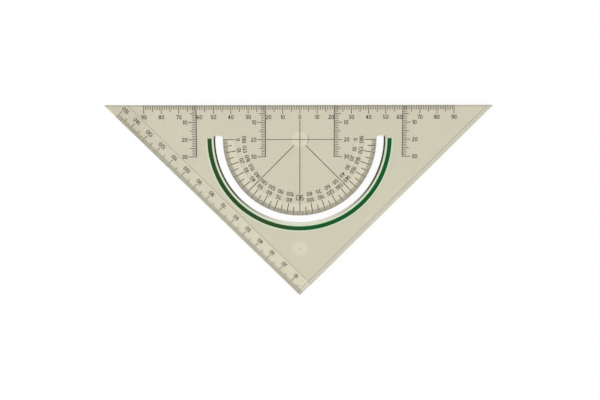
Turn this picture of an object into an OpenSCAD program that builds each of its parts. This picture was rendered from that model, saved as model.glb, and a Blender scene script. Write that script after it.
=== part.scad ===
// Drafting triangle: a flat see-through set square of 45 degrees with a printed
// scale on the long edge, a scale on one leg, and a half-round protractor.
// The plate lies flat, +Z up, the long edge towards +Y and the right angle towards -Y.

/* [Plate] */
// Length of each of the two equal legs
leg_l = 160; // [157:0.1:200]
// Radius of the plate's three tips
tip_r = 0.3; // [0.1:0.05:0.5]
// Thickness of the plate
plate_t = 2; // [1.6:0.05:3]
// Drop of the sloped facet from its crease to the edge of the ruled leg
facet_drop = 0.8; // [0.3:0.05:1]
// Height of the small step at the crease of the facet
crease_step = 0.12; // [0.05:0.01:0.25]
// Land between the leg numerals and the crease
facet_land = 1.4; // [0.5:0.05:4]
// Width of the inking rebate under the plain leg
rebate_w = 2.5; // [1:0.1:4]
// Height of the inking rebate under the plain leg
rebate_h = 0.6; // [0.2:0.05:0.7]

/* [Protractor] */
// Depth of the protractor's centre below the long edge
centre_depth = 20; // [18:0.5:22]
// Inner radius of the curved slot
slot_r = 44.8; // [44.8:0.1:47]
// Width of the curved slot
slot_w = 4.35; // [4.2:0.05:6]
// Run of the slot past the protractor's base line
slot_rise = 2.2; // [1.2:0.1:4]
// Corner radius at the slot's ends
slot_corner_r = 1.5; // [0.3:0.05:2]
// Chamfer on the outer rim of the slot
slot_chamfer = 0.9; // [0.2:0.05:1]
// Gap between the slot and the colour stripe
stripe_gap = 2.1; // [1.2:0.05:4]
// Width of the colour stripe
stripe_w = 2.45; // [0.5:0.05:3]
// Run of the colour stripe past the protractor's base line
stripe_rise = 0.7; // [0:0.1:2]
// Length of a 1 degree tick
degree_tick = 2.7; // [1.5:0.05:3]
// Length of a 5 degree tick
five_degree_tick = 5.1; // [4:0.05:5.5]
// Length of a 10 degree tick
ten_degree_tick = 7; // [6:0.05:7.4]
// Gap between the two rows of degree numerals
row_gap = 1.05; // [0.6:0.05:1.1]
// Clear radius round the centre where the 45 degree rays start
ray_start_r = 5; // [3:0.1:8]

/* [Scales] */
// Least length of the long edge left free past each end of its scale
long_scale_margin = 20; // [18:0.5:30]
// Least length of the ruled leg left free past the end of its scale
leg_scale_margin = 10; // [10:0.5:20]
// Length of a 1 mm tick on the edges
mm_tick = 2.7; // [1.5:0.05:3]
// Length of a 5 mm tick on the edges
five_mm_tick = 4; // [3.2:0.05:4.4]
// Length of a 10 mm tick on the edges
ten_mm_tick = 5.1; // [4.6:0.05:6]
// Least gap between the numbers of the inner depth scales and the degree numbers
depth_room = 0.1; // [0.05:0.05:0.3]
// Distance of the outer depth scales from the zero mark
depth_outer_x = 60; // [60:10:80]
// Length of the depth scales
depth_l = 30; // [20:10:30]
// Length of a 1 mm tick on the depth scales
depth_mm_tick = 2.5; // [1.5:0.05:2.8]
// Length of a 5 mm tick on the depth scales
depth_five_tick = 3.7; // [3:0.05:4]
// Length of a 10 mm tick on the depth scales
depth_ten_tick = 4.7; // [4.2:0.05:4.8]
// Gap between the right-hand depth scales and their numerals
depth_right_gap = 1; // [0.4:0.05:1.4]

/* [Numerals] */
// Height of a numeral
numeral_h = 2.4; // [2:0.05:2.6]
// Width of a numeral
numeral_w = 1.4; // [1.2:0.05:1.6]
// Width of the numeral 1
one_w = 0.7; // [0.6:0.02:0.9]
// Stroke of a numeral
stroke = 0.35; // [0.2:0.01:0.4]
// Gap between two numerals of a number
numeral_gap = 0.32; // [0.2:0.01:0.4]
// Gap between a 10 tick and its number
label_gap = 0.65; // [0.4:0.05:0.8]
// Height of the large 90 on the protractor
right_angle_h = 3.35; // [2.4:0.05:3.6]
// Width of each numeral of the large 90
right_angle_w = 2; // [1.4:0.05:2.2]
// Stroke of the large 90
right_angle_stroke = 0.38; // [0.2:0.01:0.45]
// Shift of the last leg number away from the corner
last_label_shift = 1.2; // [0.8:0.05:2]

/* [Print] */
// Thickness of the printed film
print_t = 0.04; // [0.02:0.005:0.1]
// Width of a 1 mm or 1 degree tick
tick_w = 0.28; // [0.12:0.01:0.34]
// Width of the longer ticks in millimetres
long_tick_w = 0.33; // [0.12:0.01:0.5]
// Width of the longer ticks in degrees
long_degree_w = 0.4; // [0.12:0.01:0.5]
// Width of the upright rules and the 45 degree rays
rule_w = 0.38; // [0.16:0.01:0.45]
// Width of the level rule through the protractor's centre
level_rule_w = 0.3; // [0.16:0.01:0.45]
// Inset of the print from the plate's edges
edge_inset = 0.05; // [0.02:0.01:0.2]
// Least gap between a number and a rule beside it
print_clear = 0.1; // [0.05:0.01:0.2]

/* [Moulding marks] */
// Diameter of the round mark under the protractor's centre
centre_mark_d = 10.2; // [4:0.1:14]
// Depth of the gate mark below the long edge
gate_depth = 84.8; // [78:0.1:95]
// Diameter of the gate dimple
gate_d = 8; // [4:0.1:10]
// Length of the trimmed gate
gate_l = 2; // [1:0.1:3]
// Width of the trimmed gate
gate_w = 0.7; // [0.4:0.05:1]
// Height of the trimmed gate
gate_h = 0.1; // [0.04:0.01:0.12]
// Depth of the round mark and of the dimple
mark_depth = 0.15; // [0.12:0.01:0.3]

/* [Hidden] */

// Colours as the photograph shows them
smoke = [0.82, 0.80, 0.71];
ink = [0.17, 0.15, 0.12];
green = [0.08, 0.33, 0.16];

// The whole step of every scale's numbers, in millimetres or degrees
label_step = 10;
// The step of every scale's longer ticks, which the inner depth scales stand on too
half_step = label_step / 2;
// Chords in a half round of a numeral or of a slot corner
half_round_steps = 8;
// Smoothness of the large rounds
$fa = 2;
$fs = 0.2;
// Largest share of the slot's rise or half width that a corner takes
corner_share = 0.8;
// Overlap that lets a cut run cleanly past a face
past = 1;

// Plate: half the long edge between the sharp corners, which is also the height over it
half_l = leg_l / sqrt(2);
edge_y = (half_l - tip_r * (sqrt(2) - 1)) / 2;
apex_y = edge_y - half_l;

// Protractor radii, from the slot inwards and outwards
slot_outer_r = slot_r + slot_w;
tick_r = slot_r - edge_inset;
outer_row_r = slot_r - ten_degree_tick - label_gap - numeral_h / 2;
inner_row_r = outer_row_r - numeral_h - row_gap;
stripe_r = slot_outer_r + stripe_gap;
stripe_angle = asin(stripe_rise / (stripe_r + stripe_w / 2));

// Edge scales: the last whole number and the middle line of the numbers
long_scale_half = label_step * floor((half_l - long_scale_margin) / label_step);
leg_scale_l = label_step * floor((leg_l - leg_scale_margin) / label_step);
label_y = ten_mm_tick + label_gap + numeral_h / 2;

// Facet: its width follows the numbers that stand on it
facet_w = label_y + numeral_h / 2 + facet_land;
facet_angle = atan((facet_drop - crease_step) / facet_w);

// Length of tick i of a scale whose 1, 5 and 10 ticks have the lengths in l, and its width
function tick_l(i, l) = i % label_step == 0 ? l[2] : i % half_step == 0 ? l[1] : l[0];
function tick_width(i, long_w = long_tick_w) = i % half_step == 0 ? long_w : tick_w;

edge_ticks = [mm_tick, five_mm_tick, ten_mm_tick];
degree_ticks = [degree_tick, five_degree_tick, ten_degree_tick];
depth_ticks = [depth_mm_tick, depth_five_tick, depth_ten_tick];

// Inner depth scales: on the last step where the last number still clears the degree numbers
depth_drop = depth_l + numeral_h / 2 - centre_depth;
depth_reach = depth_ten_tick + max(label_gap, depth_right_gap) + 2 * numeral_w + numeral_gap;
degree_clear_r = inner_row_r - numeral_h / 2 - depth_room;
depth_inner_x =
    half_step * floor((sqrt(pow(degree_clear_r, 2) - pow(depth_drop, 2)) - depth_reach) / half_step);

// True where mark i of the long edge is the foot of a depth scale
function on_depth_line(i) = abs(i) == depth_inner_x || abs(i) == depth_outer_x;

// Numeral shapes: angles round a bowl's middle, and shares of the height, the half width or the stroke
bowl_end = 155;
hook_end = 25;
slant_start = -35;
flag_share = 0.24;
bar_share = 0.86;
waist_share = 0.45;
foot_share = 0.3;
// Lengths in strokes: the slanted joint of two strokes, and the bar's rise and overhang on the 4
mitre = 1.5;
four_rise = 1.6;
four_overhang = 0.9;

// Numerals: outlines of one numeral of height h, width w and stroke s, centred on the origin

function arc(c, r, from, to) =
    let (steps = ceil(abs(to - from) / 180 * half_round_steps))
    [for (i = [0:steps])
        let (a = from + (to - from) * i / steps)
        c + r * [cos(a), sin(a)]];

function ring(c, r) = arc(c, r, 0, 360 - 180 / half_round_steps);

function turned(loop) = [for (p = loop) -p];

function widened(loop, k) = [for (p = loop) [k * p[0], p[1]]];

function zero_loop(h, r) =
    concat(arc([0, h / 2 - r], r, 0, 180), arc([0, r - h / 2], r, 180, 360));

function zero(h, w, s) = [zero_loop(h, w / 2), zero_loop(h - 2 * s, w / 2 - s)];

function one(h, w, s) =
    let (flag = h / 2 - h * flag_share)
    [[
        [w / 2 - s, -h / 2], [w / 2, -h / 2], [w / 2, h / 2], [w / 2 - s, h / 2],
        [-w / 2, flag], [-w / 2, flag - s], [w / 2 - s, h / 2 - s * mitre]
    ]];

function two(h, w, s) =
    let (r = w / 2, c = [0, h / 2 - r])
    [concat(
        arc(c, r, bowl_end, slant_start),
        [[s * mitre - r, s - h / 2], [r, s - h / 2], [r, -h / 2], [-r, -h / 2], [-r, s - h / 2]],
        arc(c, r - s, slant_start, bowl_end)
    )];

function three(h, w, s) =
    let (r = (h + s) / 4, y = r - s / 2, a = asin(y / r))
    [widened(concat(
        arc([0, y], r, bowl_end, -a),
        arc([0, -y], r, a, -bowl_end),
        arc([0, -y], r - s, -bowl_end, 90),
        [[-s, -s / 2], [-s, s / 2]],
        arc([0, y], r - s, -90, bowl_end)
    ), w / (2 * r))];

function four(h, w, s) =
    let (
        bar = s * four_rise - h / 2,
        stem = w / 2 - s * (1 + four_overhang),
        slope = (h / 2 - bar - s) / (stem + w / 2)
    )
    [
        [
            [stem, -h / 2], [stem + s, -h / 2], [stem + s, bar], [w / 2, bar], [w / 2, bar + s],
            [stem + s, bar + s], [stem + s, h / 2], [stem, h / 2], [-w / 2, bar + s], [-w / 2, bar], [stem, bar]
        ],
        [[stem, bar + s], [stem, h / 2 - s * mitre * slope], [s * mitre - w / 2, bar + s]]
    ];

function five(h, w, s) =
    let (r = w / 2, c = [0, r - h / 2], left = r * bar_share, meet = acos((s - left) / r))
    [concat(
        [[-left, h / 2], [left, h / 2], [left, h / 2 - s], [s - left, h / 2 - s]],
        arc(c, r, meet, -bowl_end),
        arc(c, r - s, -bowl_end, bowl_end),
        [[-left, c[1] + r * waist_share]]
    )];

function six(h, w, s) =
    let (r = w / 2, top = [0, h / 2 - r], bowl = [0, r - h / 2], meet = acos((s - r) / r))
    [
        concat(arc(top, r, hook_end, 180), arc(bowl, r, 180, 360 + meet), arc(top, r - s, 180, hook_end)),
        ring(bowl, r - s)
    ];

function seven(h, w, s) =
    let (r = w / 2, foot = -r * foot_share)
    [[
        [-r, h / 2], [r, h / 2], [r, h / 2 - s], [foot + s, -h / 2], [foot, -h / 2],
        [r - s, h / 2 - s], [-r, h / 2 - s]
    ]];

function eight(h, w, s) =
    let (
        r = (h + s) / 4, y = r - s / 2, a = asin(y / r),
        outer = concat(arc([0, y], r, -a, 180 + a), arc([0, -y], r, 180 - a, 360 + a))
    )
    [for (loop = [outer, ring([0, y], r - s), ring([0, -y], r - s)]) widened(loop, w / (2 * r))];

function nine(h, w, s) = [for (loop = six(h, w, s)) turned(loop)];

function outline(d, h, w, s) =
    d == 0 ? zero(h, w, s) : d == 1 ? one(h, w, s) : d == 2 ? two(h, w, s) : d == 3 ? three(h, w, s) :
    d == 4 ? four(h, w, s) : d == 5 ? five(h, w, s) : d == 6 ? six(h, w, s) : d == 7 ? seven(h, w, s) :
    d == 8 ? eight(h, w, s) : nine(h, w, s);

// Numbers: the numerals of a whole number in reading order, and the width they take
function numerals_of(n) = n < 10 ? [n] : concat(numerals_of(floor(n / 10)), [n % 10]);

// A face holds the height, the width, the width of the 1, the stroke and the gap of its numerals
label_face = [numeral_h, numeral_w, one_w, stroke, numeral_gap];
right_angle_face = [right_angle_h, right_angle_w, one_w, right_angle_stroke, rule_w + 2 * print_clear];

function numeral_width(d, face) = d == 1 ? face[2] : face[1];

function width_to(ds, k, face) =
    k == 0 ? 0 : width_to(ds, k - 1, face) + numeral_width(ds[k - 1], face) + face[4];

function number_width(n, face) = let (ds = numerals_of(n)) width_to(ds, len(ds), face) - face[4];

module numeral(d, face) {
    loops = outline(d, face[0], numeral_width(d, face), face[3]);
    starts = [for (i = 0, n = 0; i < len(loops); n = n + len(loops[i]), i = i + 1) n];
    polygon(
        [for (loop = loops) for (p = loop) p],
        [for (i = [0:len(loops) - 1]) [for (k = [0:len(loops[i]) - 1]) starts[i] + k]]
    );
}

// A whole number, centred on the origin
module number(n, face = label_face) {
    ds = numerals_of(n);
    for (k = [0:len(ds) - 1])
        translate([width_to(ds, k, face) + (numeral_width(ds[k], face) - number_width(n, face)) / 2, 0])
            numeral(ds[k], face);
}

// A printed film on the upper face, drawn from the zero mark of the long edge
module film_on_plate() {
    translate([0, edge_y, plate_t])
        linear_extrude(print_t)
            children();
}

// The same, drawn from the protractor's centre
module film_on_protractor() {
    film_on_plate()
        translate([0, -centre_depth])
            children();
}

// A printed film on the sloped facet: x runs from the corner to the right angle, y inwards from the edge
module film_on_facet() {
    leg_frame()
        translate([0, 0, plate_t - facet_drop])
            rotate([facet_angle, 0, 0])
                linear_extrude(print_t)
                    children();
}

// Frame of the ruled leg: x from the corner to the right angle, y inwards from the edge
module leg_frame() {
    translate([-half_l, edge_y, 0])
        rotate(-45)
            children();
}

// Frame of the plain leg: x from the right angle to the corner, y inwards from the edge
module plain_leg_frame() {
    translate([0, apex_y, 0])
        rotate(45)
            children();
}

// A rule of width w between two points on a ray at angle a
module ray(a, from, to, w) {
    rotate(a)
        translate([from, -w / 2])
            square([to - from, w]);
}

module edge_tick(i) {
    ray(-90, edge_inset, tick_l(i, edge_ticks), tick_width(i));
}

// Plate

module triangle_blank() {
    tip = half_l - tip_r / tan(45 / 2);
    linear_extrude(plate_t)
        polygon(concat(
            arc([-tip, edge_y - tip_r], tip_r, 90, 225),
            arc([0, apex_y + tip_r * sqrt(2)], tip_r, 225, 315),
            arc([tip, edge_y - tip_r], tip_r, 315, 450)
        ));
}

module facet_cut() {
    edge_z = plate_t - facet_drop;
    fall = past * tan(facet_angle);
    leg_frame()
        translate([-facet_w - past, 0, 0])
            rotate([90, 0, 90])
                linear_extrude(leg_l + facet_w + 2 * past)
                    polygon([
                        [-past, edge_z - fall], [facet_w, plate_t - crease_step],
                        [facet_w, plate_t + past], [-past, plate_t + past]
                    ]);
}

module rebate_cut() {
    plain_leg_frame()
        translate([-past, -past, -past])
            cube([leg_l + rebate_w + 2 * past, rebate_w + past, rebate_h + past]);
}

// Section of a cut from radius r0 to radius r1, widened at the top by the chamfer of the outer rim
module chamfered_section(r0, r1) {
    polygon([
        [r0, -past], [r1, -past], [r1, plate_t - slot_chamfer],
        [r1 + slot_chamfer + past, plate_t + past], [r0, plate_t + past]
    ]);
}

// The curved slot with the chamfer on its outer rim
module slot_cut() {
    translate([0, edge_y - centre_depth, 0]) {
        rotate_extrude(angle = 180, start = 180)
            chamfered_section(slot_r, slot_outer_r);
        for (side = [0, 1])
            mirror([side, 0, 0])
                slot_end_cut();
    }
}

// The straight end of the slot past the base line: the chamfer follows it round the outer corner
module slot_end_cut() {
    c = min(slot_corner_r, corner_share * slot_rise, corner_share * slot_w / 2);
    straight = slot_rise - c;
    translate([0, straight, 0])
        rotate([90, 0, 0])
            linear_extrude(straight)
                chamfered_section(slot_r, slot_outer_r);
    translate([slot_outer_r - c, straight, 0])
        rotate_extrude(angle = 90)
            chamfered_section(0, c);
    translate([slot_r + c, straight, -past])
        cylinder(r = c, h = plate_t + 2 * past);
    translate([slot_r + c, 0, -past])
        cube([slot_w - 2 * c, slot_rise, plate_t + 2 * past]);
}

module centre_mark_cut() {
    translate([0, edge_y - centre_depth, -past])
        cylinder(d = centre_mark_d, h = past + mark_depth);
}

module gate_dimple_cut() {
    translate([0, edge_y - gate_depth, -past])
        cylinder(d = gate_d, h = past + mark_depth);
}

module trimmed_gate() {
    translate([-gate_l / 2, edge_y - gate_depth - gate_w / 2, mark_depth - gate_h])
        cube([gate_l, gate_w, gate_h + past / 2]);
}

module plate() {
    color(smoke)
        union() {
            difference() {
                triangle_blank();
                facet_cut();
                rebate_cut();
                slot_cut();
                centre_mark_cut();
                gate_dimple_cut();
            }
            trimmed_gate();
        }
}

// Long edge

module long_edge_graduation() {
    color(ink)
        film_on_plate()
            for (i = [-long_scale_half:long_scale_half])
                if (!on_depth_line(i))
                    translate([i, 0])
                        edge_tick(abs(i));
}

// A number beside the foot of a depth scale stands clear of its line, on the side of the zero mark
function long_label_x(i) =
    on_depth_line(i)
        ? i - sign(i) * (number_width(abs(i), label_face) / 2 + rule_w / 2 + print_clear)
        : i;

module long_edge_numerals() {
    color(ink)
        film_on_plate()
            for (i = [-long_scale_half:label_step:long_scale_half])
                translate([long_label_x(i), -label_y])
                    number(abs(i));
}

// Ruled leg, numbered from the right angle

module leg_graduation() {
    color(ink)
        film_on_facet()
            for (i = [1:leg_scale_l])
                translate([leg_l - i, 0])
                    ray(90, edge_inset, tick_l(i, edge_ticks), tick_width(i));
}

module leg_numerals() {
    color(ink)
        film_on_facet()
            for (i = [label_step:label_step:leg_scale_l])
                translate([leg_l - i + (i == leg_scale_l ? last_label_shift : 0), label_y])
                    rotate(180)
                        number(i);
}

// Protractor, 0 degrees at the left end

module protractor_graduation() {
    color(ink)
        film_on_protractor()
            for (a = [0:180])
                ray(180 + a, slot_r - tick_l(a, degree_ticks), tick_r, tick_width(a, long_degree_w));
}

// A row of degree numbers whose tops point outwards
module degree_row(r, flip) {
    for (a = [0:label_step:180])
        if (a != 90)
            rotate(90 + a)
                translate([0, r])
                    number(flip ? 180 - a : a);
}

module protractor_outer_numerals() {
    color(ink)
        film_on_protractor()
            degree_row(outer_row_r, false);
}

module protractor_inner_numerals() {
    color(ink)
        film_on_protractor()
            degree_row(inner_row_r, true);
}

// The large 90 stands astride the upright rule
module right_angle_numeral() {
    color(ink)
        film_on_protractor()
            rotate(180)
                translate([0, (outer_row_r + inner_row_r) / 2])
                    number(90, right_angle_face);
}

module centre_cross() {
    top = label_y + numeral_h / 2 + label_gap;
    bottom = centre_depth + slot_r - ten_degree_tick;
    half_level = depth_inner_x - rule_w / 2;
    color(ink)
        film_on_plate() {
            translate([-rule_w / 2, -bottom])
                square([rule_w, bottom - top]);
            translate([-half_level, -centre_depth - level_rule_w / 2])
                square([2 * half_level, level_rule_w]);
        }
}

module angle_rays() {
    color(ink)
        film_on_protractor()
            for (a = [225, 315])
                ray(a, ray_start_r, slot_r - five_degree_tick, rule_w);
}

module colour_stripe() {
    color(green)
        translate([0, edge_y - centre_depth, plate_t])
            rotate_extrude(angle = 180 + 2 * stripe_angle, start = 180 - stripe_angle)
                translate([stripe_r, 0])
                    square([stripe_w, print_t]);
}

// Depth scales: a rule down from the long edge at x, with ticks away from the zero mark

module depth_scale(x) {
    side = sign(x);
    end = depth_l + tick_width(depth_l) / 2;
    color(ink)
        film_on_plate()
            difference() {
                union() {
                    translate([x - rule_w / 2, -end])
                        square([rule_w, end - edge_inset]);
                    for (i = [1:depth_l])
                        translate([x, -i])
                            ray(side > 0 ? 0 : 180, 0, tick_l(i, depth_ticks), tick_width(i));
                }
                for (i = [1:ceil(depth_ten_tick)])
                    translate([x + side * i, 0])
                        edge_tick(abs(x) + i);
            }
}

module depth_numerals(x) {
    gap = x > 0 ? depth_right_gap : label_gap;
    color(ink)
        film_on_plate()
            for (i = [label_step:label_step:depth_l])
                translate([x + sign(x) * (depth_ten_tick + gap + number_width(i, label_face) / 2), -i])
                    number(i);
}

module depth_scale_left_outer() { depth_scale(-depth_outer_x); }
module depth_scale_left_inner() { depth_scale(-depth_inner_x); }
module depth_scale_right_inner() { depth_scale(depth_inner_x); }
module depth_scale_right_outer() { depth_scale(depth_outer_x); }
module depth_numerals_left_outer() { depth_numerals(-depth_outer_x); }
module depth_numerals_left_inner() { depth_numerals(-depth_inner_x); }
module depth_numerals_right_inner() { depth_numerals(depth_inner_x); }
module depth_numerals_right_outer() { depth_numerals(depth_outer_x); }

plate();
long_edge_graduation();
long_edge_numerals();
leg_graduation();
leg_numerals();
protractor_graduation();
protractor_outer_numerals();
protractor_inner_numerals();
right_angle_numeral();
depth_scale_left_outer();
depth_scale_left_inner();
depth_scale_right_inner();
depth_scale_right_outer();
depth_numerals_left_outer();
depth_numerals_left_inner();
depth_numerals_right_inner();
depth_numerals_right_outer();
centre_cross();
angle_rays();
colour_stripe();
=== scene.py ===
"""Looks of a see-through drafting triangle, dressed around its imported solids.

Lengths are in metres in the part's own frame: +X along the long edge, +Y towards it, +Z up.
"""

from __future__ import annotations

import logging
import math
from dataclasses import dataclass, field
from enum import Enum
from functools import partial, reduce
from typing import Any, Union

import bpy
from mathutils import Euler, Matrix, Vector

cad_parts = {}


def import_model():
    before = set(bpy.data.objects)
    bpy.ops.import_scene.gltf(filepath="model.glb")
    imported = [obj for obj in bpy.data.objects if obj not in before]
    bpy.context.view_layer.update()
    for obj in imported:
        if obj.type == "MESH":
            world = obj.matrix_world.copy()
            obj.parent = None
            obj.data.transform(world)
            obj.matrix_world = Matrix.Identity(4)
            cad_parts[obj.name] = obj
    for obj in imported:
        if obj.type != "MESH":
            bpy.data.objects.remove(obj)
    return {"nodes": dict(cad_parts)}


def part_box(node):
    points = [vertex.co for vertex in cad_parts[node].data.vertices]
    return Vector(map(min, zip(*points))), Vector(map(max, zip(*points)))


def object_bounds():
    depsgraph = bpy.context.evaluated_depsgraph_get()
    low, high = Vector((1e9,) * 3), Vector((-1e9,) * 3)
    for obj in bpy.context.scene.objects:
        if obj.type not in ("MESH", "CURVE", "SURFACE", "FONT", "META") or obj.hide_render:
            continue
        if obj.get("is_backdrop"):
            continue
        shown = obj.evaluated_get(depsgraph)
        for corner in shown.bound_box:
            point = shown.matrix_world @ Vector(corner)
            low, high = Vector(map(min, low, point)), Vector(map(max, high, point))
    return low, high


log = logging.getLogger("drafting_triangle")

# Metres in a millimetre
MM = 0.001
# Height of a fine relief in metres
RELIEF = 0.00002
# Share of a level or upright step that runs along a leg
SLANT = math.sqrt(0.5)
# Least lengths that the shader divides by, of a way in millimetres and of a facing
LEAST_REACH = 0.1
LEAST_FACING = 0.01
Colour = tuple[float, float, float]
SocketValue = Union[bpy.types.NodeSocket, float, Vector, tuple]


def opaque(colour: Colour) -> tuple[float, float, float, float]:
    """Returns a colour with full alpha, as colour sockets take it."""
    return (*colour, 1.0)


class Node(Enum):
    """Shader nodes that the finishes are drawn with."""

    BUMP = "ShaderNodeBump"
    COORDINATES = "ShaderNodeTexCoord"
    DIFFUSE = "ShaderNodeBsdfDiffuse"
    EMISSION = "ShaderNodeEmission"
    GROUP = "ShaderNodeGroup"
    GROUP_INPUT = "NodeGroupInput"
    GROUP_OUTPUT = "NodeGroupOutput"
    LIGHT_PATH = "ShaderNodeLightPath"
    MAP_RANGE = "ShaderNodeMapRange"
    MATH = "ShaderNodeMath"
    MIX_COLOUR = "ShaderNodeMix"
    MIX_SHADER = "ShaderNodeMixShader"
    NOISE = "ShaderNodeTexNoise"
    OUTPUT = "ShaderNodeOutputMaterial"
    PRINCIPLED = "ShaderNodeBsdfPrincipled"
    SEPARATE = "ShaderNodeSeparateXYZ"
    TRANSPARENT = "ShaderNodeBsdfTransparent"
    VECTOR_MATH = "ShaderNodeVectorMath"


class Sketch:
    """Short calls that draw one node tree.

    Args:
        tree: The node tree that the calls draw in.
    """

    def __init__(self, tree: bpy.types.NodeTree) -> None:
        """Keeps the tree."""
        self.tree = tree

    def add(self, kind: Node, **settings: Any) -> bpy.types.Node:
        """Adds a node.

        Args:
            kind: The node's kind.
            settings: Properties of the node, by name.

        Returns:
            The new node.
        """
        node = self.tree.nodes.new(kind.value)
        for name, value in settings.items():
            setattr(node, name, value)
        return node

    def feed(self, socket: bpy.types.NodeSocket, value: SocketValue) -> None:
        """Links a socket to another one, or sets its plain value.

        Args:
            socket: The input to feed.
            value: An output to link, or a number, vector or colour to set.
        """
        if isinstance(value, bpy.types.NodeSocket):
            self.tree.links.new(value, socket)
        else:
            socket.default_value = value

    def math(self, operation: str, *values: SocketValue) -> bpy.types.NodeSocket:
        """Adds a Math node.

        Args:
            operation: The node's operation.
            values: Its inputs, in order.

        Returns:
            Its result.
        """
        node = self.add(Node.MATH, operation=operation)
        for socket, value in zip(node.inputs, values):
            self.feed(socket, value)
        return node.outputs[0]

    def total(self, *values: SocketValue) -> bpy.types.NodeSocket:
        """Returns the sum of two or more values."""
        return reduce(partial(self.math, "ADD"), values)

    def product(self, *values: SocketValue) -> bpy.types.NodeSocket:
        """Returns the product of two or more values."""
        return reduce(partial(self.math, "MULTIPLY"), values)

    def ease(
        self,
        value: SocketValue,
        start: SocketValue,
        end: SocketValue,
        low: SocketValue = 0.0,
        high: SocketValue = 1.0,
    ) -> bpy.types.NodeSocket:
        """Turns a value smoothly from low to high between start and end.

        Args:
            value: The value that decides.
            start: Where the result is still low.
            end: Where the result reaches high.
            low: The result before start.
            high: The result after end.

        Returns:
            The eased result.
        """
        node = self.add(Node.MAP_RANGE, interpolation_type="SMOOTHSTEP")
        for name, entry in zip(
            ("Value", "From Min", "From Max", "To Min", "To Max"), (value, start, end, low, high)
        ):
            self.feed(node.inputs[name], entry)
        return node.outputs["Result"]

    def fade(self, value: SocketValue, start: SocketValue, end: SocketValue) -> bpy.types.NodeSocket:
        """Returns 1 where a value is below start, 0 where it is over end, and a smooth turn between."""
        return self.ease(value, start, end, low=1.0, high=0.0)

    def mix(self, factor: SocketValue, first: SocketValue, second: SocketValue) -> bpy.types.NodeSocket:
        """Mixes two colours.

        Args:
            factor: The share of the second colour.
            first: The first colour.
            second: The second colour.

        Returns:
            The mixed colour.
        """
        return self._colour("MIX", factor, first, second)

    def tint(self, colour: SocketValue, shade: SocketValue) -> bpy.types.NodeSocket:
        """Returns a colour multiplied by a shade."""
        return self._colour("MULTIPLY", 1.0, colour, shade)

    def _colour(
        self, blend: str, factor: SocketValue, first: SocketValue, second: SocketValue
    ) -> bpy.types.NodeSocket:
        """Adds a Mix node for colours.

        Args:
            blend: How the node blends them.
            factor: The share of the second colour.
            first: The first colour.
            second: The second colour.

        Returns:
            Its result.
        """
        node = self.add(Node.MIX_COLOUR, data_type="RGBA", blend_type=blend, clamp_result=False)
        inputs = [socket for socket in node.inputs if socket.enabled]
        for socket, value in zip(inputs, (factor, first, second)):
            self.feed(socket, value)
        return next(socket for socket in node.outputs if socket.enabled)

    def length(self, first: SocketValue, second: SocketValue) -> bpy.types.NodeSocket:
        """Returns the length of the flat vector with the two given parts."""
        return self.math("SQRT", self.total(self.product(first, first), self.product(second, second)))

    def relief(self, height: bpy.types.NodeSocket, strength: float) -> bpy.types.NodeSocket:
        """Returns the normal of a surface with a fine relief.

        Args:
            height: The relief's height, from 0 to 1.
            strength: The relief's strength.

        Returns:
            The normal.
        """
        node = self.add(Node.BUMP)
        self.feed(node.inputs["Height"], height)
        self.feed(node.inputs["Strength"], strength)
        self.feed(node.inputs["Distance"], RELIEF)
        return node.outputs[0]

    def place(self) -> bpy.types.NodeSocket:
        """Finds the surface point.

        Returns:
            The point in millimetres, in the part's frame.
        """
        node = self.add(Node.VECTOR_MATH, operation="SCALE")
        self.feed(node.inputs[0], self.add(Node.COORDINATES).outputs["Object"])
        self.feed(node.inputs["Scale"], 1 / MM)
        return node.outputs[0]

    def facing(self) -> bpy.types.NodeSocket:
        """Returns the direction that the surface faces, in the part's frame."""
        return self.add(Node.COORDINATES).outputs["Normal"]

    def parts(self, vector: bpy.types.NodeSocket) -> list[bpy.types.NodeSocket]:
        """Takes a vector apart.

        Args:
            vector: The vector.

        Returns:
            Its X, Y and Z.
        """
        node = self.add(Node.SEPARATE)
        self.feed(node.inputs[0], vector)
        return list(node.outputs)

    def effect(self, group: bpy.types.NodeTree, **values: SocketValue) -> bpy.types.Node:
        """Places a shared effect.

        Args:
            group: The effect's node group.
            values: Its inputs, by name, with underscores for spaces.

        Returns:
            The placed group node.
        """
        node = self.add(Node.GROUP, node_tree=group)
        for name, value in values.items():
            self.feed(node.inputs[name.replace("_", " ")], value)
        return node


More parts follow.
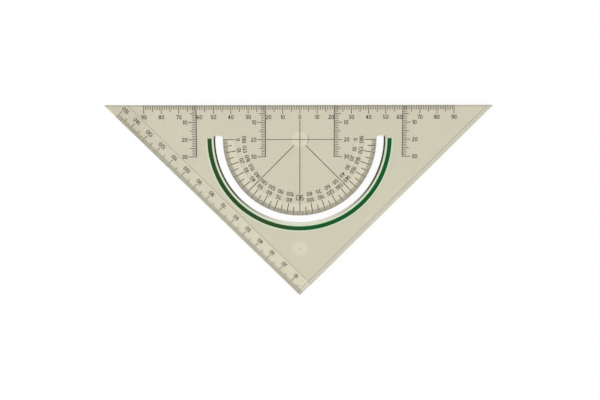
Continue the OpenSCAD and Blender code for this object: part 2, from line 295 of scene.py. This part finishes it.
class Effects:
    """Shader effects of the finishes, each built once as a node group.

    Attributes:
        CLOUD_DETAIL: Octaves of the clouds.
        GRAIN_DETAIL: Octaves of the grain.
        MEAN_HEIGHT: Mean height of a noise.
        COVER_SPAN: Heights of the grain where its cover starts to rise and is full.
    """

    CLOUD_DETAIL = 2.0
    GRAIN_DETAIL = 3.0
    MEAN_HEIGHT = 0.5
    COVER_SPAN = (0.3, 0.6)

    def __init__(self) -> None:
        """Builds the groups."""
        self.line = self._soft_line()
        self.clouds = self._clouds()
        self.grain = self._grain()

    @staticmethod
    def _group(
        name: str, inputs: dict[str, str], outputs: dict[str, str]
    ) -> tuple[Sketch, bpy.types.Node, bpy.types.Node]:
        """Starts a node group.

        Args:
            name: The group's name.
            inputs: Socket types of its inputs, by name.
            outputs: Socket types of its outputs, by name.

        Returns:
            A sketch of the group, its input node and its output node.
        """
        tree = bpy.data.node_groups.new(name, "ShaderNodeTree")
        for direction, sockets in (("INPUT", inputs), ("OUTPUT", outputs)):
            for socket, kind in sockets.items():
                tree.interface.new_socket(name=socket, in_out=direction, socket_type=f"NodeSocket{kind}")
        sketch = Sketch(tree)
        return sketch, sketch.add(Node.GROUP_INPUT), sketch.add(Node.GROUP_OUTPUT)

    @staticmethod
    def _noise(sketch: Sketch, given: bpy.types.Node, detail: float) -> bpy.types.NodeSocket:
        """Draws the noise of a group.

        Args:
            sketch: The group's sketch.
            given: The group's input node, which has a place and a scale.
            detail: Octaves of the noise.

        Returns:
            The noise's height, from 0 to 1.
        """
        noise = sketch.add(Node.NOISE)
        sketch.feed(noise.inputs["Vector"], given.outputs["Place"])
        sketch.feed(noise.inputs["Scale"], given.outputs["Scale"])
        sketch.feed(noise.inputs["Detail"], detail)
        return noise.outputs[0]

    def _soft_line(self) -> bpy.types.NodeTree:
        """Builds a soft line where a distance has a given value.

        Returns:
            The group, which gives the line as a mask.
        """
        sketch, given, result = self._group(
            "soft_line",
            {"Distance": "Float", "Middle": "Float", "Half Width": "Float", "Softness": "Float"},
            {"Mask": "Float"},
        )
        half_w = given.outputs["Half Width"]
        aside = sketch.math("SUBTRACT", given.outputs["Distance"], given.outputs["Middle"])
        edge = sketch.math("ADD", half_w, given.outputs["Softness"])
        sketch.feed(result.inputs["Mask"], sketch.fade(sketch.math("ABSOLUTE", aside), half_w, edge))
        return sketch.tree

    def _clouds(self) -> bpy.types.NodeTree:
        """Builds broad soft clouds about zero, for tint that drifts over a surface.

        Returns:
            The group, which gives the drift.
        """
        sketch, given, result = self._group(
            "soft_clouds", {"Place": "Vector", "Scale": "Float", "Strength": "Float"}, {"Drift": "Float"}
        )
        height = self._noise(sketch, given, self.CLOUD_DETAIL)
        centred = sketch.math("SUBTRACT", height, self.MEAN_HEIGHT)
        sketch.feed(result.inputs["Drift"], sketch.product(centred, given.outputs["Strength"]))
        return sketch.tree

    def _grain(self) -> bpy.types.NodeTree:
        """Builds fine grain.

        Returns:
            The group, which gives the grain as a share of cover and as a height.
        """
        sketch, given, result = self._group(
            "fine_grain",
            {"Place": "Vector", "Scale": "Float", "Least Cover": "Float"},
            {"Cover": "Float", "Height": "Float"},
        )
        height = self._noise(sketch, given, self.GRAIN_DETAIL)
        cover = sketch.ease(height, *self.COVER_SPAN, low=given.outputs["Least Cover"])
        sketch.feed(result.inputs["Cover"], cover)
        sketch.feed(result.inputs["Height"], height)
        return sketch.tree


def new_material(name: str) -> tuple[bpy.types.Material, Sketch, bpy.types.Node]:
    """Starts an empty node material.

    Args:
        name: The material's name.

    Returns:
        The material, a sketch of its tree and its output node.
    """
    material = bpy.data.materials.new(name)
    material.use_nodes = True
    material.node_tree.nodes.clear()
    sketch = Sketch(material.node_tree)
    return material, sketch, sketch.add(Node.OUTPUT)


@dataclass(frozen=True)
class SmokyPlastic:
    """Clear smoky plastic of a polished moulding.

    Attributes:
        tint: Colour of light that has crossed the plate once.
        edge_cast: Colour cast of the strips along the edges.
        stripe_painted_light: Colour of the painted green light that the stripe casts on the plastic beside
            it.
        rim_painted_shade: Colour of the painted shade on the slot's chamfer where it faces sideways.
        rim_painted_light: Painted light on the slot's outer wall, and on its chamfer where it doesn't face
            sideways.
        left_turn: Sideways shares of its facing where the left-hand chamfer leaves its painted light and
            reaches full painted shade.
        right_turn: The same for the right-hand chamfer.
        ior: Refractive index.
        clear: Share of light that crosses it, the rest being scattered by a faint haze.
        roughness: Least and most roughness of the polish.
        drift: Share by which the tint drifts over the plate.
        drift_scale: Clouds of that drift for each millimetre.
        ripple: Strength of the faint ripple in the surface.
        ripple_scale: Ripples for each millimetre.
        ripple_span: Heights of the ripple between which the roughness goes from least to most.
    """

    tint: Colour = (0.669, 0.637, 0.502)
    edge_cast: Colour = (0.975, 1.0, 1.04)
    # Painted green light from the stripe.
    stripe_painted_light: Colour = (0.935, 1.14, 1.075)
    # Painted shade and painted light of the slot's chamfer and outer wall.
    rim_painted_shade: Colour = (0.002, 0.0015, 0.001)
    rim_painted_light: Colour = (0.94, 0.92, 0.85)
    left_turn: tuple[float, float] = (0.08, 0.78)
    right_turn: tuple[float, float] = (0.2, 0.88)
    ior: float = 1.49
    clear: float = 0.85
    roughness: tuple[float, float] = (0.02, 0.07)
    drift: float = 0.05
    drift_scale: float = 0.03
    ripple: float = 0.05
    ripple_scale: float = 1.5
    ripple_span: tuple[float, float] = (0.35, 0.7)


@dataclass(frozen=True)
class PrintInk:
    """Ink of a screen print.

    Attributes:
        name: The material's name.
        left: Colour at the left end of the part.
        right: Colour at the right end of the part.
        fade: X in millimetres where the left colour ends and the right one starts.
        paper: Colour that thin ink lets through.
        least_cover: Cover of the ink where it is thinnest.
        roughness: Least and most roughness of the film.
        gloss: Specular level of the film.
        grain_scale: Grains of the film for each millimetre.
        grain_span: Heights of the grain between which the roughness goes from least to most.
        grain_bump: Strength of the grain's relief.
    """

    name: str
    left: Colour
    right: Colour
    fade: tuple[float, float] = (-20.0, 6.0)
    paper: Colour = (0.30, 0.28, 0.22)
    least_cover: float = 0.97
    roughness: tuple[float, float] = (0.45, 0.65)
    gloss: float = 0.08
    grain_scale: float = 6.0
    grain_span: tuple[float, float] = (0.3, 0.7)
    grain_bump: float = 0.2

    def material(self, effects: Effects) -> bpy.types.Material:
        """Draws the ink.

        Args:
            effects: The shared effects.

        Returns:
            The material.
        """
        material, sketch, output = new_material(self.name)
        place = sketch.place()
        grain = sketch.effect(
            effects.grain, Place=place, Scale=self.grain_scale, Least_Cover=self.least_cover
        )
        height = grain.outputs["Height"]
        across = sketch.ease(sketch.parts(place)[0], *self.fade)
        ink = sketch.mix(across, opaque(self.left), opaque(self.right))
        shader = sketch.add(Node.PRINCIPLED)
        sketch.feed(shader.inputs["Base Color"], sketch.mix(grain.outputs["Cover"], opaque(self.paper), ink))
        sketch.feed(shader.inputs["Roughness"], sketch.ease(height, *self.grain_span, *self.roughness))
        sketch.feed(shader.inputs["Specular IOR Level"], self.gloss)
        sketch.feed(shader.inputs["Normal"], sketch.relief(height, self.grain_bump))
        sketch.feed(output.inputs["Surface"], shader.outputs[0])
        return material


BLACK_INK = PrintInk("black_ink", left=(0.008, 0.007, 0.005), right=(0.008, 0.007, 0.005))
GREEN_INK = PrintInk("green_ink", left=(0.0185, 0.060, 0.0145), right=(0.0015, 0.082, 0.017))


@dataclass(frozen=True)
class PaintedLightLine:
    """A soft line of painted shade or painted highlight in the plate's tint, standing for light that the
    plate's shape bends.

    Attributes:
        middle: Distance of the line from the edge or point that it follows, in millimetres.
        half_w: Half its width at full strength.
        soft: Width over which it fades out on each side.
        strength: What it adds to the shade, below zero for a line of painted shade and above zero for a
            painted highlight.
    """

    middle: float
    half_w: float
    soft: float
    strength: float

    def draw(
        self, sketch: Sketch, effects: Effects, distance: bpy.types.NodeSocket
    ) -> bpy.types.NodeSocket:
        """Draws the line.

        Args:
            sketch: The material's sketch.
            effects: The shared effects.
            distance: The distance that the line is a value of.

        Returns:
            What the line of painted shade or painted highlight adds to the shade.
        """
        node = sketch.effect(
            effects.line, Distance=distance, Middle=self.middle, Half_Width=self.half_w, Softness=self.soft
        )
        return sketch.product(node.outputs["Mask"], self.strength)


@dataclass(frozen=True)
class Spot:
    """A surface point of the plate, as node sockets in millimetres.

    Attributes:
        place: The point in the part's frame.
        x: Its X.
        below: Its depth below the long edge.
        up: Its height over the protractor's base line.
        reach: Its distance from the protractor's centre.
    """

    place: bpy.types.NodeSocket
    x: bpy.types.NodeSocket
    below: bpy.types.NodeSocket
    up: bpy.types.NodeSocket
    reach: bpy.types.NodeSocket


@dataclass
class Plate:
    """The moulded plate, with painted shade and painted highlights in its tint for the lines and marks that
    its shape draws by bending the light.

    Lengths are in millimetres in the part's frame.

    Attributes:
        half_l: Half the length of the long edge between its sharp corners.
        edge_y: Y of the long edge.
        centre_y: Y of the protractor's centre.
        finish: What the plate is made of.
        tip_r: Radius of the plate's tips.
        crease: Painted shade along the crease of the ruled leg's facet.
        crease_glow: Painted highlight on the facet beside the crease.
        facet_glow: What the facet's painted highlight adds to the shade near the right angle.
        facet_span: Lengths along the ruled leg, from its tip, where that glow starts and is full.
        tip_shade: Dark end of the plate at the ruled leg's tip, by X.
        ruled_rim_highlight: Painted highlight along the ruled leg's edge.
        rebate: Painted shade along the step of the plain leg's rebate.
        plain_rim_shade: Painted shade along the plain leg.
        long_rim_shade: Painted shade along the long edge.
        long_strip: Depths below the long edge where the greyer strip along it starts to fade and ends.
        plain_strip: The same for the greyer strip along the plain leg.
        base_fade: Heights over the protractor's base line where the rings round it start to fade and end.
        slot_wall_shade: Painted shade along the slot's inner wall.
        painted_wall_zone: Zone of the slot's outer wall that takes painted light, as pale as the chamfer's
            palest stretch.
        wall_lean: Upward shares of its facing where a wall stops being upright and leans.
        chamfer_lean: Upward shares of its facing where a chamfer starts, is sure, starts to fade and ends.
        rim_shade_start: Distances from the protractor's centre where the chamfer's painted shade starts and
            is full.
        print_glow: Painted highlights in rings between the degree ticks and between the rows of degree
            numbers.
        stripe_glow: Painted highlights on the two sides of the colour stripe.
        stripe_halo: Zone round the stripe that takes its painted green light.
        centre_shade_line: Painted shade round the mark under the protractor's centre, on its right-hand
            side.
        centre_turn: Rightward shares of the way from the centre where that line starts and is full.
        centre_fade: Distances from the centre where the mark's glow starts to fade and ends.
        centre_glow: What the mark's painted highlight adds to the shade.
        gate_in: Depth of the gate mark below the long edge.
        gate_fade: Distances from the gate where the glow of its dimple starts to fade and ends.
        gate_glow: What the dimple's painted highlight adds to the shade.
        gate_cut_shade: Painted shade along the cut where the gate was trimmed.
        gate_half_l: Half the length of that line.
    """

    half_l: float
    edge_y: float
    centre_y: float
    finish: SmokyPlastic = field(default_factory=SmokyPlastic)
    tip_r: float = 0.3
    # Painted shade (below zero) and painted highlights (above zero), each a soft line in the tint for light
    # that the plate's shape bends.
    crease: PaintedLightLine = PaintedLightLine(9.5, 0.15, 0.5, -0.15)
    crease_glow: PaintedLightLine = PaintedLightLine(8.7, 0.2, 0.4, 0.03)
    facet_glow: float = 0.09
    facet_span: tuple[float, float] = (20.0, 140.0)
    tip_shade: PaintedLightLine = PaintedLightLine(-113.0, 15.0, 15.0, -0.07)
    ruled_rim_highlight: PaintedLightLine = PaintedLightLine(0.05, 0.1, 0.35, 0.4)
    rebate: PaintedLightLine = PaintedLightLine(2.3, 0.2, 0.5, -0.16)
    plain_rim_shade: PaintedLightLine = PaintedLightLine(0.85, 0.15, 0.4, -0.06)
    long_rim_shade: PaintedLightLine = PaintedLightLine(0.5, 0.3, 0.5, -0.16)
    long_strip: tuple[float, float] = (0.7, 1.4)
    plain_strip: tuple[float, float] = (2.16, 2.4)
    base_fade: tuple[float, float] = (0.0, 1.0)
    slot_wall_shade: PaintedLightLine = PaintedLightLine(44.4, 0.2, 0.4, -0.03)
    painted_wall_zone: PaintedLightLine = PaintedLightLine(49.15, 0.1, 0.1, 1.0)
    wall_lean: tuple[float, float] = (0.1, 0.3)
    chamfer_lean: tuple[float, float, float, float] = (0.4, 0.6, 0.8, 0.95)
    rim_shade_start: tuple[float, float] = (49.12, 49.24)
    print_glow: tuple[PaintedLightLine, PaintedLightLine] = (
        PaintedLightLine(40.6, 2.0, 1.2, 0.08),
        PaintedLightLine(34.0, 0.3, 0.6, 0.06),
    )
    stripe_glow: tuple[PaintedLightLine, PaintedLightLine] = (
        PaintedLightLine(50.85, 0.25, 0.35, 0.17),
        PaintedLightLine(54.1, 0.2, 0.5, 0.1),
    )
    stripe_halo: PaintedLightLine = PaintedLightLine(52.5, 1.8, 0.6, 1.0)
    centre_shade_line: PaintedLightLine = PaintedLightLine(5.05, 0.1, 0.25, -0.35)
    centre_turn: tuple[float, float] = (0.84, 0.93)
    centre_fade: tuple[float, float] = (3.939, 5.05)
    centre_glow: float = 0.1
    gate_in: float = 84.8
    gate_fade: tuple[float, float] = (2.2, 6.4)
    gate_glow: float = 0.09
    gate_cut_shade: PaintedLightLine = PaintedLightLine(0.0, 0.2, 0.3, -0.16)
    gate_half_l: float = 0.8

    @classmethod
    def from_frame(cls) -> Plate:
        """Reads the plate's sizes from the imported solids.

        Returns:
            The plate.
        """
        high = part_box("plate")[1] / MM
        stripe_low, stripe_high = (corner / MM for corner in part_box("colour_stripe"))
        return cls(
            half_l=high.x + cls.tip_r * math.sqrt(2),
            edge_y=high.y,
            centre_y=stripe_low.y + stripe_high.x,
        )

    def dress(self, effects: Effects) -> None:
        """Gives the plate's node its material."""
        dress_node("plate", self._material(effects))

    def _material(self, effects: Effects) -> bpy.types.Material:
        """Draws the smoky plastic.

        Args:
            effects: The shared effects.

        Returns:
            The material.
        """
        finish = self.finish
        material, sketch, output = new_material("smoky_plastic")
        spot = self._spot(sketch)
        grain = sketch.effect(effects.grain, Place=spot.place, Scale=finish.ripple_scale)
        height = grain.outputs["Height"]
        wall = self._wall(sketch, effects, spot)
        # Painted light on the slot's outer wall, then painted shade and painted light on its chamfer.
        colour = sketch.mix(wall, self._body(sketch, effects, spot), opaque(finish.rim_painted_light))
        colour = sketch.mix(self._chamfer(sketch), colour, self._rim(sketch, spot))
        shader = sketch.add(Node.PRINCIPLED)
        sketch.feed(shader.inputs["Base Color"], colour)
        sketch.feed(shader.inputs["Roughness"], sketch.ease(height, *finish.ripple_span, *finish.roughness))
        sketch.feed(shader.inputs["IOR"], finish.ior)
        sketch.feed(shader.inputs["Transmission Weight"], finish.clear)
        sketch.feed(shader.inputs["Normal"], sketch.relief(height, finish.ripple))
        clear = sketch.add(Node.TRANSPARENT)
        sketch.feed(clear.inputs["Color"], opaque(tuple(math.sqrt(part) for part in finish.tint)))
        surface = sketch.add(Node.MIX_SHADER)
        sketch.feed(surface.inputs[0], sketch.add(Node.LIGHT_PATH).outputs["Is Shadow Ray"])
        sketch.feed(surface.inputs[1], shader.outputs[0])
        sketch.feed(surface.inputs[2], clear.outputs[0])
        sketch.feed(output.inputs["Surface"], surface.outputs[0])
        return material

    def _spot(self, sketch: Sketch) -> Spot:
        """Finds the surface point that a material is drawn at.

        Args:
            sketch: The material's sketch.

        Returns:
            The surface point.
        """
        place = sketch.place()
        x, y, _ = sketch.parts(place)
        up = sketch.math("SUBTRACT", y, self.centre_y)
        return Spot(place, x, sketch.math("SUBTRACT", self.edge_y, y), up, sketch.length(x, up))

    def _body(self, sketch: Sketch, effects: Effects, spot: Spot) -> bpy.types.NodeSocket:
        """Draws the tint with painted shade and painted highlights along the edges and at the moulding
        marks, and painted green light beside the stripe.

        Args:
            sketch: The material's sketch.
            effects: The shared effects.
            spot: The surface point.

        Returns:
            The colour.
        """
        x, below = spot.x, spot.below
        lower_half = sketch.fade(spot.up, *self.base_fade)
        from_tip = sketch.total(x, self.half_l)
        ruled_in = sketch.product(sketch.math("SUBTRACT", from_tip, below), SLANT)
        along = sketch.product(sketch.total(from_tip, below), SLANT)
        # Painted highlight on the facet, fuller towards the right angle.
        facet = sketch.product(
            sketch.ease(ruled_in, self.crease_glow.middle, self.crease.middle, self.facet_glow, 0.0),
            sketch.ease(along, *self.facet_span),
        )
        plain_in = sketch.product(
            sketch.math("SUBTRACT", sketch.math("SUBTRACT", self.half_l, x), below), SLANT
        )
        drift = sketch.effect(
            effects.clouds, Place=spot.place, Scale=self.finish.drift_scale, Strength=self.finish.drift
        )
        # Painted shade and painted highlights, added to the plastic's own tint drift.
        shade = sketch.total(
            1.0,
            drift.outputs["Drift"],
            self.crease.draw(sketch, effects, ruled_in),
            self.crease_glow.draw(sketch, effects, ruled_in),
            facet,
            self.tip_shade.draw(sketch, effects, x),
            self.ruled_rim_highlight.draw(sketch, effects, ruled_in),
            self.rebate.draw(sketch, effects, plain_in),
            self.plain_rim_shade.draw(sketch, effects, plain_in),
            self.long_rim_shade.draw(sketch, effects, below),
            sketch.product(self._arcs(sketch, effects, spot), lower_half),
            self._centre(sketch, effects, spot),
            self._gate(sketch, effects, spot),
        )
        strips = sketch.math(
            "MAXIMUM", sketch.fade(below, *self.long_strip), sketch.fade(plain_in, *self.plain_strip)
        )
        # Painted green light that the stripe casts on the plastic beside it.
        stripe_light_mask = sketch.product(self.stripe_halo.draw(sketch, effects, spot.reach), lower_half)
        colour = sketch.tint(opaque(self.finish.tint), shade)
        colour = sketch.mix(strips, colour, sketch.tint(colour, opaque(self.finish.edge_cast)))
        return sketch.mix(stripe_light_mask, colour, sketch.tint(colour, opaque(self.finish.stripe_painted_light)))

    def _arcs(self, sketch: Sketch, effects: Effects, spot: Spot) -> bpy.types.NodeSocket:
        """Draws the painted shade and painted highlights along the slot, the degree scale and the stripe.

        Args:
            sketch: The material's sketch.
            effects: The shared effects.
            spot: The surface point.

        Returns:
            What they add to the shade.
        """
        lines = (self.slot_wall_shade, *self.print_glow, *self.stripe_glow)
        return sketch.total(*(line.draw(sketch, effects, spot.reach) for line in lines))

    def _centre(self, sketch: Sketch, effects: Effects, spot: Spot) -> bpy.types.NodeSocket:
        """Draws the painted shade and painted highlight of the mark under the protractor's centre.

        Args:
            sketch: The material's sketch.
            effects: The shared effects.
            spot: The surface point.

        Returns:
            What the mark adds to the shade.
        """
        rightwards = sketch.math("DIVIDE", spot.x, sketch.math("MAXIMUM", spot.reach, LEAST_REACH))
        line = self.centre_shade_line.draw(sketch, effects, spot.reach)
        return sketch.total(
            sketch.product(line, sketch.ease(rightwards, *self.centre_turn)),
            sketch.product(sketch.fade(spot.reach, *self.centre_fade), self.centre_glow),
        )

    def _gate(self, sketch: Sketch, effects: Effects, spot: Spot) -> bpy.types.NodeSocket:
        """Draws the painted highlight of the gate's dimple and the painted shade of the cut where the gate
        was trimmed.

        Args:
            sketch: The material's sketch.
            effects: The shared effects.
            spot: The surface point.

        Returns:
            What the gate adds to the shade.
        """
        down = sketch.math("SUBTRACT", spot.below, self.gate_in)
        away = sketch.length(spot.x, down)
        beside = sketch.fade(
            sketch.math("ABSOLUTE", spot.x), self.gate_half_l, self.gate_half_l + self.gate_cut_shade.soft
        )
        return sketch.total(
            sketch.product(sketch.fade(away, *self.gate_fade), self.gate_glow),
            sketch.product(self.gate_cut_shade.draw(sketch, effects, down), beside),
        )

    def _chamfer(self, sketch: Sketch) -> bpy.types.NodeSocket:
        """Finds the slot's chamfer, the one face that leans by about 45 degrees.

        Args:
            sketch: The material's sketch.

        Returns:
            1 on the chamfer and 0 elsewhere.
        """
        lean = sketch.parts(sketch.facing())[2]
        start, sure, fade, end = self.chamfer_lean
        return sketch.product(sketch.ease(lean, start, sure), sketch.fade(lean, fade, end))

    def _wall(self, sketch: Sketch, effects: Effects, spot: Spot) -> bpy.types.NodeSocket:
        """Finds the slot's upright outer wall.

        Args:
            sketch: The material's sketch.
            effects: The shared effects.
            spot: The surface point.

        Returns:
            1 on the wall and 0 elsewhere.
        """
        lean = sketch.math("ABSOLUTE", sketch.parts(sketch.facing())[2])
        zone = self.painted_wall_zone.draw(sketch, effects, spot.reach)
        return sketch.product(zone, sketch.fade(lean, *self.wall_lean))

    def _rim(self, sketch: Sketch, spot: Spot) -> bpy.types.NodeSocket:
        """Draws the chamfer's painted colour: painted shade where it faces sideways and painted light
        elsewhere.

        Args:
            sketch: The material's sketch.
            spot: The surface point.

        Returns:
            The colour.
        """
        x, y, _ = sketch.parts(sketch.facing())
        sideways = sketch.math("DIVIDE", x, sketch.math("MAXIMUM", sketch.length(x, y), LEAST_FACING))
        turn = sketch.math(
            "MAXIMUM",
            sketch.ease(sideways, *self.finish.left_turn),
            sketch.ease(sketch.product(sideways, -1.0), *self.finish.right_turn),
        )
        # Painted shade where the chamfer faces sideways, painted light elsewhere.
        dark = sketch.product(turn, sketch.ease(spot.reach, *self.rim_shade_start))
        return sketch.mix(dark, opaque(self.finish.rim_painted_light), opaque(self.finish.rim_painted_shade))


def dress_node(name: str, material: bpy.types.Material) -> None:
    """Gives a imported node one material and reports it.

    Args:
        name: The node's name.
        material: Its material.
    """
    mesh = bpy.data.objects[name].data
    mesh.materials.clear()
    mesh.materials.append(material)
    log.info("%s: %s", name, material.name)


@dataclass
class Print:
    """The printed scales, numbers and rules, and the colour stripe.

    Attributes:
        stripe: Name of the stripe's node.
    """

    stripe: str = "colour_stripe"

    def dress(self, effects: Effects, nodes: list[str]) -> None:
        """Gives each film its ink.

        Args:
            effects: The shared effects.
            nodes: Names of the films' nodes.
        """
        black = BLACK_INK.material(effects)
        green = GREEN_INK.material(effects)
        for name in nodes:
            dress_node(name, green if name == self.stripe else black)


@dataclass
class Studio:
    """White floor and surroundings, and soft lamps.

    Attributes:
        floor_size: Side of the square floor.
        floor_gap: Gap under the part.
        floor_colour: Colour that the lamps light.
        white: Colour of the floor and the surroundings to the eye.
        glow: Share of the floor's plain white that the camera sees, the rest being lit and shaded.
        sky: Strength of the light from all around.
    """

    floor_size: float = 6.0
    floor_gap: float = 0.0001
    floor_colour: Colour = (0.9, 0.9, 0.9)
    white: Colour = (1.0, 1.0, 1.0)
    glow: float = 0.85
    sky: float = 0.84

    def build(self) -> None:
        """Makes the floor, the surroundings and the lamps."""
        self._floor()
        self._surroundings()
        for lamp in LAMPS:
            lamp.build()

    @staticmethod
    def _seen(sketch: Sketch) -> bpy.types.NodeSocket:
        """Finds the rays that show the white.

        Args:
            sketch: The sketch of the material or the world.

        Returns:
            1 for rays from the camera, off gloss or through the plate, and 0 for others.
        """
        path = sketch.add(Node.LIGHT_PATH)
        direct = sketch.math("MAXIMUM", path.outputs["Is Camera Ray"], path.outputs["Is Glossy Ray"])
        return sketch.math("MAXIMUM", direct, path.outputs["Is Transmission Ray"])

    def _floor(self) -> None:
        """Makes the floor, white to the eye but still holding the part's shadow."""
        bpy.ops.mesh.primitive_plane_add(size=self.floor_size, location=(0, 0, -self.floor_gap))
        floor = bpy.context.object
        floor.name = "floor"
        material, sketch, output = new_material("floor_white")
        lit = sketch.add(Node.DIFFUSE)
        sketch.feed(lit.inputs["Color"], opaque(self.floor_colour))
        white = sketch.add(Node.EMISSION)
        sketch.feed(white.inputs["Color"], opaque(self.white))
        surface = sketch.add(Node.MIX_SHADER)
        sketch.feed(surface.inputs[0], sketch.product(self._seen(sketch), self.glow))
        sketch.feed(surface.inputs[1], lit.outputs[0])
        sketch.feed(surface.inputs[2], white.outputs[0])
        sketch.feed(output.inputs["Surface"], surface.outputs[0])
        floor.data.materials.append(material)
        floor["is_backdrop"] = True

    def _surroundings(self) -> None:
        """Makes the world: plain white where it shows, and soft light elsewhere."""
        world = bpy.data.worlds.new("studio")
        world.use_nodes = True
        bpy.context.scene.world = world
        sketch = Sketch(world.node_tree)
        background = world.node_tree.nodes["Background"]
        sketch.feed(background.inputs["Color"], opaque(self.white))
        sketch.feed(background.inputs["Strength"], sketch.ease(self._seen(sketch), 0.0, 1.0, self.sky, 1.0))


@dataclass(frozen=True)
class SoftLamp:
    """A large square lamp that points at the part.

    Attributes:
        name: The lamp's name.
        place: Where it stands.
        size: Side of its square.
        power: Its power in watts.
    """

    name: str
    place: tuple[float, float, float]
    size: float
    power: float

    def build(self) -> None:
        """Makes the lamp."""
        data = bpy.data.lights.new(self.name, "AREA")
        data.size = self.size
        data.energy = self.power
        lamp = bpy.data.objects.new(self.name, data)
        bpy.context.scene.collection.objects.link(lamp)
        lamp.location = self.place
        lamp.rotation_euler = (-Vector(self.place)).to_track_quat("-Z", "Y").to_euler()


LAMPS = (
    SoftLamp("key", place=(-0.55, 0.35, 0.65), size=0.5, power=2.4),
    SoftLamp("fill", place=(0.6, -0.3, 0.6), size=0.6, power=1.0),
)


@dataclass(frozen=True)
class PhotoCamera:
    """The photograph's camera, placed from the zero mark of the long edge.

    Attributes:
        offset: Place of the lens from the zero mark.
        turn: Turn about X, Y and Z from looking straight down.
        focal_px: Focal length in pixels of the photograph.
        image_w: Width of the photograph in pixels.
    """

    offset: tuple[float, float, float] = (-0.020301, 0.017563, 0.527304)
    turn: tuple[float, float, float] = (-0.137689, -0.038604, 0.0)
    focal_px: float = 906.56
    image_w: float = 600.0

    def build(self, zero_mark: Vector) -> None:
        """Makes the camera.

        Args:
            zero_mark: Place of the zero mark.
        """
        data = bpy.data.cameras.new("photo_camera")
        data.sensor_fit = "HORIZONTAL"
        data.lens = data.sensor_width * self.focal_px / self.image_w
        camera = bpy.data.objects.new("photo_camera", data)
        bpy.context.scene.collection.objects.link(camera)
        camera.location = zero_mark + Vector(self.offset)
        camera.rotation_euler = Euler(self.turn, "XYZ")
        bpy.context.scene.camera = camera


def main() -> None:
    """Loads the solids, dresses them, and sets the studio round them."""
    logging.basicConfig(level=logging.INFO, format="%(name)s: %(message)s")
    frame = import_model()
    cad_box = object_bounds()
    bpy.context.scene.view_settings.view_transform = "Standard"
    effects = Effects()
    plate = Plate.from_frame()
    plate.dress(effects)
    films = sorted(set(frame["nodes"]) - {"plate"})
    Print().dress(effects, films)
    Studio().build()
    PhotoCamera().build(Vector((0.0, plate.edge_y * MM, cad_box[1][2])))


if __name__ == "__main__":
    main()
